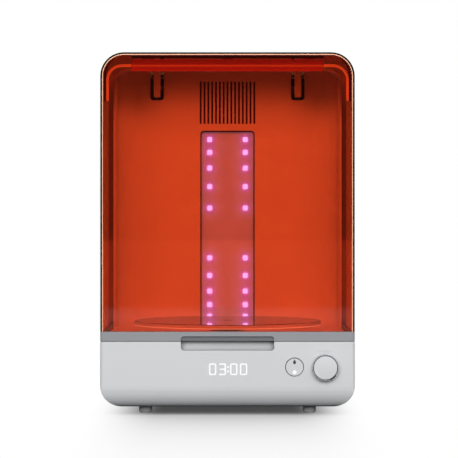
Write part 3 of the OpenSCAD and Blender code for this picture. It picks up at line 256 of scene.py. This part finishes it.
# the liner gets painted shade under the ceiling and a painted darker reflection in glossy rays
linerPlastic = paintedDimReflection(
    mouldedPlastic("chamber white ABS", "#EEEAE4", "#E6E2DC", 0.5, grit=1.2 * mm, paintedShade=ceilingShadePainted),
    "#C2BCB6")
buttonPlastic = mouldedPlastic("button moulded polycarbonate", "#CACCCD", "#C6C8C9", 0.38)
knobRimPaintedShade = mouldedPlastic("knob rim painted shade", "#2E2F32", "#2A2B2E", 0.45)
blackPlastic = mouldedPlastic("black nylon", "#1C1C1E", "#242426", 0.5)
hubPlastic = mouldedPlastic("hub grey nylon", "#8A8683", "#82807C", 0.45)
gasketRubber = mouldedPlastic("pane gasket rubber", "#2A2422", "#241F1D", 0.7)
bearingPlastic = mouldedPlastic("white acetal", "#E8E6E0", "#DEDCD6", 0.35)
frictionLining = mouldedPlastic("friction lining", "#4A4038", "#40372F", 0.85)
footRubber = mouldedPlastic("foot rubber", "#8C8C8D", "#828283", 0.75)
# the heater fins are near black: partly their black coating, partly painted shade that keeps the grille slots
# dark
heaterCeramic = mouldedPlastic("heater fins black coated, painted shade", "#161413", "#1E1B1A", 0.7)
boardGreen = mouldedPlastic("green solder mask", "#12502C", "#0E4426", 0.35, grit=3 * mm)
armPaint = mouldedPlastic("arm pale powder coat", "#D8D2CA", "#CCC6BE", 0.5, grit=1.0 * mm, depth=0.04)
# the plate shows as a near-black painted reflection in the hood's inner faces
plateAcrylic = paintedDimReflection(
    mouldedPlastic("rose acrylic plate", "#D06060", "#C65A5A", 0.25), "#1A0606")
bareSteel = metalFinish("zinc plated steel", "#C8CACC", "#B4B6B8", 0.32)
darkSteel = metalFinish("phosphated steel", "#4A4C4E", "#3A3C3E", 0.5)
bareAluminium = metalFinish("anodised aluminium", "#D6D8DA", "#C8CACC", 0.35, (1, 1, 12))
orangeAcrylic = clearSheet("orange dyed acrylic", "#FFFFFF", "#F6A000", 700.0, 0.0)
clearAcrylic = clearSheet("clear acrylic", "#FDFDFD", "#FFFFFF", 0.0, 0.0)
clearPane = clearSheet("clear polycarbonate pane", "#FAFAFA", "#FFFFFF", 0.0, 0.0, 1.58)
rimSatinAndHighlight = mouldedPlastic("satin acrylic rim with painted highlight", "#F0E6DC", "#E8DED4", 0.35)
edgePaintedGlow = glowing("sawn acrylic edge with painted glow", "#FFFFFF", 0.6, "#F4F0EA", 0.6)
chamferPaintedHighlight = mouldedPlastic("painted highlight on the acrylic chamfer", "#EEB494", "#E6AA8A", 0.6)
# painted glow: the bead gives off its own light though it is no lamp, and shows as a near-black painted
# reflection in the hood's inner faces
beadPaintedGlow = paintedDimReflection(
    glowing("acrylic bead with painted glow", "#FF9A50", 0.2, "#FFC8A0", 0.2), "#1A0806")
plateBeadPaintedGlow = glowing("painted glow of the bead on the plate", "#FF9A50", 0.08, "#F09070", 0.25)
displayGlow = glowing("lit display guide", "#FFFFFF", 1.0, "#000000", 0.5)
darkMarkAndGapShade = mouldedPlastic("unlit mark and painted gap shade", "#47494C", "#424447", 0.4)
diodeGlow = glowing("lit diode lens", "#7480FF", 8.0)
print("materials made")


# modelling helpers
def tidySelection():
    if bpy.context.object and bpy.context.object.mode != "OBJECT":
        bpy.ops.object.mode_set(mode="OBJECT")
    bpy.ops.object.select_all(action="DESELECT")


def addObject(name, data):
    tidySelection()
    made = bpy.data.objects.new(name, data)
    bpy.context.scene.collection.objects.link(made)
    made.select_set(True)
    bpy.context.view_layer.objects.active = made
    return made


def markSharpEdges(mesh, angle, spared):
    # sharp edges get a bevel weight, apart from those whose middle the spared test names
    weights = (mesh.attributes.get("bevel_weight_edge")
               or mesh.attributes.new("bevel_weight_edge", "FLOAT", "EDGE"))
    faces = {}
    for face in mesh.polygons:
        for key in face.edge_keys:
            faces.setdefault(key, []).append(face.normal)
    for edge in mesh.edges:
        meeting = faces.get(tuple(sorted(edge.vertices)), [])
        sharp = len(meeting) == 2 and meeting[0].angle(meeting[1], 0) > math.radians(angle)
        middle = (mesh.vertices[edge.vertices[0]].co + mesh.vertices[edge.vertices[1]].co) / 2
        if sharp and not spared(middle):
            weights.data[edge.index].value = 1.0


def finishEdges(piece, width, segments=2, angle=35, spared=lambda middle: False):
    # softened sharp edges, smooth round stretches and even shading on flat faces
    if width:
        markSharpEdges(piece.data, angle, spared)
        bevel = piece.modifiers.new("soft edges", "BEVEL")
        bevel.width = width
        bevel.segments = segments
        bevel.limit_method = "WEIGHT"
        bevel.use_clamp_overlap = False
        bpy.ops.object.modifier_apply(modifier=bevel.name)
    bpy.ops.object.shade_smooth_by_angle(angle=math.radians(angle))
    even = piece.modifiers.new("even normals", "WEIGHTED_NORMAL")
    even.keep_sharp = True
    bpy.ops.object.modifier_apply(modifier=even.name)


def finishedCopy(nodeName, pieceName, material, width=0.0, spared=lambda middle: False, cuts=()):
    # the CAD node's own shape with merged points and finished edges
    mesh = nodes[nodeName].data.copy()
    mesh.materials.clear()
    piece = addObject(pieceName, mesh)
    if mesh.has_custom_normals:
        bpy.ops.mesh.customdata_custom_splitnormals_clear()
    bpy.ops.object.mode_set(mode="EDIT")
    bpy.ops.mesh.select_all(action="SELECT")
    bpy.ops.mesh.remove_doubles(threshold=0.002 * mm)
    bpy.ops.mesh.dissolve_limited(angle_limit=math.radians(0.4))
    for depth in cuts:
        bpy.ops.mesh.select_all(action="SELECT")
        bpy.ops.mesh.bisect(plane_co=(0, depth, 0), plane_no=(0, 1, 0))
    bpy.ops.object.mode_set(mode="OBJECT")
    finishEdges(piece, width, spared=spared)
    mesh.materials.append(material)
    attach(piece, nodes[nodeName]["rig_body"])
    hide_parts(nodeName)
    return piece


def paintFaces(piece, material, chosen):
    # a second material on the faces that the test chooses
    piece.data.materials.append(material)
    index = len(piece.data.materials) - 1
    for face in piece.data.polygons:
        if chosen(face):
            face.material_index = index


def insetFront(piece, front, width):
    # a narrow ring of faces inside the edge of the flat front
    tidySelection()
    piece.select_set(True)
    bpy.context.view_layer.objects.active = piece
    bpy.ops.object.mode_set(mode="EDIT")
    bpy.ops.mesh.select_all(action="DESELECT")
    bpy.ops.object.mode_set(mode="OBJECT")
    for face in piece.data.polygons:
        face.select = face.normal.y < -0.99 and abs(face.center.y - front) < 0.01 * mm
    bpy.ops.object.mode_set(mode="EDIT")
    bpy.ops.mesh.inset(thickness=width, depth=0)
    bpy.ops.object.mode_set(mode="OBJECT")


def awayFrom(middle, face, axes):
    # distance of a face's middle from a point, measured along the named axes only
    return math.hypot(*(getattr(face.center, axis) - getattr(middle, axis) for axis in axes))


def roundedBox(centreX, centreZ, width, height, radius, steps=5):
    points = []
    for turn, (sx, sz) in enumerate(((1, 1), (-1, 1), (-1, -1), (1, -1))):
        for step in range(steps + 1):
            angle = math.pi / 2 * (turn + step / steps)
            points.append((centreX + sx * (width / 2 - radius) + radius * math.cos(angle),
                           centreZ + sz * (height / 2 - radius) + radius * math.sin(angle)))
    return points


def frontPlate(name, outlines, front, back, material, body, width=0.0):
    # closed outlines in the front view made into a plate; an outline inside another is a hole
    curve = bpy.data.curves.new(name, "CURVE")
    curve.dimensions = "2D"
    curve.fill_mode = "BOTH"
    curve.extrude = (back - front) / 2
    for outline in outlines:
        spline = curve.splines.new("POLY")
        spline.points.add(len(outline) - 1)
        spline.use_cyclic_u = True
        for point, (x, z) in zip(spline.points, outline):
            point.co = (x, z, 0, 1)
    piece = addObject(name, curve)
    bpy.ops.object.convert(target="MESH")
    piece = bpy.context.object
    middle = (front + back) / 2
    piece.data.transform(Matrix.Translation((0, middle, 0)) @ Matrix.Rotation(math.pi / 2, 4, "X"))
    bpy.ops.object.mode_set(mode="EDIT")
    bpy.ops.mesh.select_all(action="SELECT")
    bpy.ops.mesh.remove_doubles(threshold=0.002 * mm)
    bpy.ops.mesh.dissolve_limited(angle_limit=math.radians(0.4))
    bpy.ops.mesh.normals_make_consistent(inside=False)
    bpy.ops.object.mode_set(mode="OBJECT")
    finishEdges(piece, width)
    piece.data.materials.clear()
    piece.data.materials.append(material)
    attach(piece, body)
    return piece


slotOf = {part["node"]: part["material_slot"] for part in frame["record"]["subparts"]}

# housing, skirt, hood, chamber
displayLow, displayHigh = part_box("display_segments_lit")


def nearDisplay(point):
    return (displayLow.x - mm < point.x < displayHigh.x + mm
            and displayLow.z - mm < point.z < displayHigh.z + mm
            and point.y < displayHigh.y + mm)


finishedCopy("base_housing", "baseHousing", housingPlastic, 0.5 * mm, spared=nearDisplay)
hoodSkirt = finishedCopy("hood_skirt", "hoodSkirt", skirtPlastic, 0.35 * mm)
# painted shade: the faces of the pocket's lip get a darker grey, standing in for the shade under the skirt's
# edge
grip = {"halfWidth": 49.5 * mm, "top": 83.3 * mm, "front": -135.2 * mm}
paintFaces(hoodSkirt, lipPaintedShade, lambda face: abs(face.center.x) < grip["halfWidth"]
           and face.center.z < grip["top"] and face.center.y > grip["front"])
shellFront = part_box("hood_shell")[0].y
# painted highlight: a pale opaque band on the shell's front edge faces stands in for the bright line along
# the hood's edge
chamfer = {"from": 0.08 * mm, "to": 0.3 * mm}
hoodShell = finishedCopy("hood_shell", "hoodShell", orangeAcrylic,
                         cuts=[shellFront + chamfer["from"], shellFront + chamfer["to"]])
paintFaces(hoodShell, chamferPaintedHighlight, lambda face: chamfer["from"] < face.center.y - shellFront < chamfer["to"])
finishedCopy("rear_liner", "chamberLiner", linerPlastic)
finishedCopy("chamber_deck", "chamberDeck", linerPlastic, 0.4 * mm)
rearCover = finishedCopy("rear_cover", "rearCover", housingPlastic, 0.3 * mm)
# painted shade: the cover's inward faces get black plastic so that its inside reads as shaded
paintFaces(rearCover, blackPlastic, lambda face: face.normal.y < -0.5)
print("housing and hood made")

# feet
for place in ("front_left", "front_right", "rear_left", "rear_right"):
    side, end = place.split("_")
    finishedCopy("foot_" + place, "foot" + side.capitalize() + end.capitalize(), footRubber, 0.5 * mm)

# turntable
turntable = {"edgeFrom": 101.5 * mm}
turntableDisc = finishedCopy("turntable_disc", "turntableDisc", clearAcrylic, 0.7 * mm)
discLow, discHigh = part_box("turntable_disc")
discCentre = (discLow + discHigh) / 2
# the disc's upright rim is a pale opaque satin: partly its sawn finish, partly a painted highlight standing
# in for the rim's bright lines
paintFaces(turntableDisc, rimSatinAndHighlight, lambda face: abs(face.normal.z) < 0.3
           and awayFrom(discCentre, face, "xy") > turntable["edgeFrom"])
# painted glow on the disc's lower edge bevel
paintFaces(turntableDisc, edgePaintedGlow, lambda face: -0.95 < face.normal.z < -0.3
           and awayFrom(discCentre, face, "xy") > turntable["edgeFrom"])
finishedCopy("turntable_hub", "turntableHub", hubPlastic, 0.3 * mm)
print("turntable made")

# hinge arms, bead and plate under the hood's top
for side in ("left", "right"):
    finishedCopy("hinge_arm_" + side, "hingeArm" + side.capitalize(), armPaint, 0.5 * mm)
finishedCopy("hood_brace", "hoodBead", beadPaintedGlow, 0.8 * mm)
finishedCopy("brace_plate", "bracePlate", plateAcrylic, 0.5 * mm)
plateLow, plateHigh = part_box("brace_plate")
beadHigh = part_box("hood_brace")[1]
# painted glow: a thin glowing strip on the plate's front, just under the bead's top, paints the bead's light
# on the plate
bead = {"thick": 2.2 * mm, "drop": 1.7 * mm, "proud": 0.5 * mm, "short": mm, "radius": 0.5 * mm,
        "edge": 0.3 * mm}
paintedBeadLine = roundedBox(0, beadHigh.z - bead["drop"], plateHigh.x - plateLow.x - bead["short"], bead["thick"],
                      bead["radius"])
frontPlate("paintedBeadLine", [paintedBeadLine], plateLow.y - bead["proud"], plateLow.y + bead["proud"],
           plateBeadPaintedGlow, "hood", bead["edge"])
print("hood fittings made")

# light panel: pane, its gasket, lit board and lenses
finishedCopy("light_window", "lightPane", clearPane)
diodePoints = np.array([v.co for v in nodes["light_diodes"].data.vertices])
columnX = float(abs(diodePoints[:, 0]).min() + abs(diodePoints[:, 0]).max()) / 2
levels = np.sort(diodePoints[:, 2])
glow = {"rowGap": 3 * mm, "reach": 4.2 * mm, "wideReach": 10 * mm, "strength": 2.3, "even": 0.22}
breaks = np.flatnonzero(np.diff(levels) > glow["rowGap"])
rows = [float(group.min() + group.max()) / 2 for group in np.split(levels, breaks + 1)]
print("diode rows:", len(rows), "column at", round(columnX, 4))
boardLit = litBoard("lit white solder mask", rows, columnX, glow["reach"], glow["wideReach"],
                    glow["strength"], glow["even"])
finishedCopy("light_board", "lightBoard", boardLit)
finishedCopy("light_diodes", "lightLenses", diodeGlow)
opening = {"halfWidth": 31.4 * mm, "low": 87.5 * mm, "high": 308.5 * mm, "radius": 4 * mm, "band": 1.3 * mm,
           "front": 90.8 * mm, "back": 92.45 * mm}
middleZ = (opening["low"] + opening["high"]) / 2
tall = opening["high"] - opening["low"]
frontPlate(
    "lightGasket",
    [roundedBox(0, middleZ, 2 * opening["halfWidth"], tall, opening["radius"]),
     roundedBox(0, middleZ, 2 * (opening["halfWidth"] - opening["band"]), tall - 2 * opening["band"],
                opening["radius"] - opening["band"])],
    opening["front"], opening["back"], gasketRubber, "base")
print("light panel made")

# display: a plain face that hides the guides' outlines, and the lit digits
digit = {"wide": 7.8 * mm, "tall": 12.4 * mm, "stroke": 1.5 * mm, "radius": 1.7 * mm, "inner": 0.5 * mm,
         "cut": 0.4 * mm, "waist": 1.4 * mm, "pitch": 10.3 * mm, "gap": 6 * mm,
         "dot": 0.95 * mm, "dotGap": 2.2 * mm, "dotRadius": 0.4 * mm, "proud": 0.08 * mm, "sunk": 0.1 * mm}
panel = {"wide": 47 * mm, "tall": 17 * mm, "radius": 2 * mm, "proud": 0.05 * mm, "sunk": 0.1 * mm}
displayMid = (displayLow + displayHigh) / 2
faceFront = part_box("base_housing")[0].y
panelOutline = roundedBox(displayMid.x, displayMid.z, panel["wide"], panel["tall"], panel["radius"])
displayFace = frontPlate("displayFace", [panelOutline], faceFront - panel["proud"], faceFront + panel["sunk"],
                         housingPlastic, "base")
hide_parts("display_segments_unlit")


def zeroOutlines(x):
    inner = digit["wide"] - 2 * digit["stroke"]
    return [roundedBox(x, displayMid.z, digit["wide"], digit["tall"], digit["radius"]),
            roundedBox(x, displayMid.z, inner, digit["tall"] - 2 * digit["stroke"], digit["inner"])]


def threeOutline(x):
    half, top, stroke, radius = digit["wide"] / 2, digit["tall"] / 2, digit["stroke"], digit["radius"]
    cut, waist = digit["cut"], digit["waist"]
    corners = [(half - radius + radius * math.sin(a), top - radius + radius * math.cos(a))
               for a in np.linspace(0, math.pi / 2, 6)]
    outer = [(-half + cut, top)] + corners + [(px, -pz) for px, pz in reversed(corners)]
    outer += [(-half + cut, -top), (-half + cut, -top + stroke), (half - stroke, -top + stroke)]
    outer += [(half - stroke, -stroke / 2), (-half + waist, -stroke / 2), (-half + waist, stroke / 2)]
    outer += [(half - stroke, stroke / 2), (half - stroke, top - stroke), (-half + cut, top - stroke)]
    return [[(x + px, displayMid.z + pz) for px, pz in outer]]


digitPlaces = [displayMid.x + digit["gap"] * s + digit["pitch"] * o
               for s, o in ((-1, -1), (-1, 0), (1, 0), (1, 1))]
shapes = zeroOutlines(digitPlaces[0]) + threeOutline(digitPlaces[1])
shapes += zeroOutlines(digitPlaces[2]) + zeroOutlines(digitPlaces[3])
for up in (-1, 1):
    shapes.append(roundedBox(displayMid.x, displayMid.z + up * digit["dotGap"], 2 * digit["dot"],
                             2 * digit["dot"], digit["dotRadius"]))
displayDigits = frontPlate("displayDigits", shapes, faceFront - digit["proud"], faceFront + digit["sunk"],
                           displayGlow, "base")
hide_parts("display_segments_lit")
print("display made")

# controls
modeButton = finishedCopy("mode_button", "modeButton", buttonPlastic, 0.45 * mm)
buttonMarks = finishedCopy("button_icons", "buttonMarks", displayGlow)
buttonLow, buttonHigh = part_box("mode_button")
buttonMid = (buttonLow + buttonHigh) / 2
ring = {"knob": 1.3 * mm, "inset": 0.5 * mm, "button": 0.8 * mm, "buttonRadius": 9.4 * mm}
# painted shade: the button's edge bevel is dark grey, standing in for the shade in the gap round the button;
# the dark upper icon below is its own print
paintFaces(modeButton, darkMarkAndGapShade, lambda face: -0.97 < face.normal.y < -0.1
           and face.center.y < buttonLow.y + mm
           and awayFrom(buttonMid, face, "xz") > ring["buttonRadius"] - ring["button"])
paintFaces(buttonMarks, darkMarkAndGapShade, lambda face: face.center.z > buttonMid.z)
knobLow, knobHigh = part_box("knob")
knobMid = (knobLow + knobHigh) / 2
knobReach = (knobHigh.x - knobLow.x) / 2
knobCap = finishedCopy("knob", "knobCap", buttonPlastic, 0.2 * mm)
insetFront(knobCap, knobLow.y, ring["inset"])
# painted shade: the dark rim round the knob's front stands in for the shade in the gap round the knob
paintFaces(knobCap, knobRimPaintedShade, lambda face: face.normal.y < -0.3
           and awayFrom(knobMid, face, "xz") > knobReach - ring["knob"])
print("controls made")

# the other nodes keep their shape and get a finish
slotLooks = {
    "housing_grey": housingPlastic, "skirt_grey": skirtPlastic, "orange_acrylic": orangeAcrylic,
    "liner_white": linerPlastic, "clear_disc": clearAcrylic, "clear_pane": clearPane,
    "brace_red": plateAcrylic, "bare_steel": bareSteel, "dark_steel": darkSteel,
    "bare_aluminium": bareAluminium, "board_green": boardGreen, "board_white": boardLit,
    "diode_glow": diodeGlow, "display_glow": displayGlow, "button_grey": buttonPlastic,
    "black_plastic": blackPlastic, "heater_ceramic": heaterCeramic, "bearing_plastic": bearingPlastic,
    "friction_lining": frictionLining, "foot_rubber": footRubber}
for name, node in nodes.items():
    node.data.materials.clear()
    node.data.materials.append(slotLooks[slotOf[name]])
for name in ("hinge_frame", "hinge_pin_left", "hinge_pin_right"):
    nodes[name].data.materials[0] = darkSteel
print("finishes given")

# camera at the photograph's place: level, in front of the housing's face
view = {"distance": 2200 * mm, "height": 210.9 * mm, "lens": 164.45, "shiftX": 0.0033, "shiftY": -0.0306}
camera = addObject("camera", bpy.data.cameras.new("camera"))
camera.location = (0, faceFront - view["distance"], view["height"])
camera.rotation_euler = (math.radians(90), 0, 0)
camera.data.sensor_width = 36
camera.data.lens = view["lens"]
camera.data.shift_x = view["shiftX"]
camera.data.shift_y = view["shiftY"]
bpy.context.scene.camera = camera

# lamps: a wide soft box in front, a soft one above, and strips that only put highlights on the edges
lamps = {
    "key": {"place": (-0.03, -2.6, 0.82), "size": (1.6, 0.9), "power": 60, "seenIn": "diffuse"},
    "top": {"place": (0.0, 0.1, 1.9), "size": (1.2, 0.8), "power": 32, "seenIn": "diffuse"},
    "rear": {"place": (0.9, 2.6, 1.3), "size": (1.6, 1.0), "power": 28, "seenIn": "diffuse"},
    "leftStrip": {"place": (-2.2, -1.7, 0.5), "size": (0.35, 1.6), "power": 6, "seenIn": "glossy"},
    "rightStrip": {"place": (2.2, -1.7, 0.5), "size": (0.35, 1.6), "power": 6, "seenIn": "glossy"},
    "topStrip": {"place": (0.0, -1.7, 2.4), "size": (2.0, 0.35), "power": 8, "seenIn": "glossy"},
}
aimedAt = Vector((0, 0, 0.2))
for name, lamp in lamps.items():
    made = addObject(name, bpy.data.lights.new(name, "AREA"))
    made.data.shape = "RECTANGLE"
    made.data.size, made.data.size_y = lamp["size"]
    made.data.energy = lamp["power"]
    made.location = lamp["place"]
    made.rotation_euler = (aimedAt - Vector(lamp["place"])).to_track_quat("-Z", "Y").to_euler()
    made.visible_diffuse = lamp["seenIn"] == "diffuse"
    made.visible_glossy = lamp["seenIn"] == "glossy"
    made.visible_transmission = False


def rayLevel(tree, levels):
    # a strength that depends on the kind of ray, so that the white backdrop doesn't flood the chamber
    rays = addNode(tree, "ShaderNodeLightPath")
    total = None
    for kind, level in levels.items():
        added = addNode(tree, "ShaderNodeMath", {0: rays.outputs[kind], 1: level}, operation="MULTIPLY_ADD")
        if total:
            tree.links.new(total.outputs[0], added.inputs[2])
        else:
            added.inputs[2].default_value = 0.0
        total = added
    return total.outputs[0]


world = bpy.data.worlds.new("studio")
bpy.context.scene.world = world
world.use_nodes = True
tree = world.node_tree
tree.nodes.clear()
out = addNode(tree, "ShaderNodeOutputWorld")
sky = addNode(tree, "ShaderNodeBackground", {"Color": "#FFFFFF", "Strength": rayLevel(tree, {
    "Is Camera Ray": 1.0, "Is Transmission Ray": 0.05, "Is Glossy Ray": 0.04, "Is Diffuse Ray": 0.42})})
tree.links.new(sky.outputs[0], out.inputs["Surface"])

# floor: white emission with a painted soft shadow from an occlusion test where it is seen, lifted to plain
# white beside the unit; plain pale grey for bounced light
material, tree, output = newMaterial("pale floor")
hidden = addNode(tree, "ShaderNodeAmbientOcclusion", {"Color": "#FFFFFF", "Distance": 1.2}, samples=16)
where = addNode(tree, "ShaderNodeTexCoord")
place = addNode(tree, "ShaderNodeSeparateXYZ", {0: where.outputs["Object"]})
aside = addNode(tree, "ShaderNodeMath", {0: place.outputs["X"]}, operation="ABSOLUTE")
beside = addNode(tree, "ShaderNodeMapRange", {"Value": aside.outputs[0], "From Min": 0.07, "From Max": 0.15},
               interpolation_type="SMOOTHSTEP")
level = addNode(tree, "ShaderNodeMapRange", {"Value": hidden.outputs["AO"], "To Min": 0.06, "To Max": 1.0})
lifted = addNode(tree, "ShaderNodeMix", {
    0: beside.outputs[0], 2: level.outputs[0], 3: 1.0}, data_type="FLOAT")
shown = addNode(tree, "ShaderNodeEmission", {"Color": "#FFFFFF", "Strength": lifted.outputs[0]})
plain = addNode(tree, "ShaderNodeBsdfDiffuse", {"Color": "#6C6C6C"})
seen = rayLevel(tree, {"Is Camera Ray": 1.0, "Is Transmission Ray": 1.0})
both = addNode(tree, "ShaderNodeMixShader", {0: seen, 1: plain.outputs[0], 2: shown.outputs[0]})
tree.links.new(both.outputs[0], output.inputs["Surface"])
material.cycles.emission_sampling = "NONE"
tidySelection()
bpy.ops.mesh.primitive_plane_add(size=30, location=(0, 0, 0))
floor = bpy.context.object
floor.name = "floor"
floor.data.materials.append(material)

bpy.context.scene.view_settings.view_transform = "Standard"
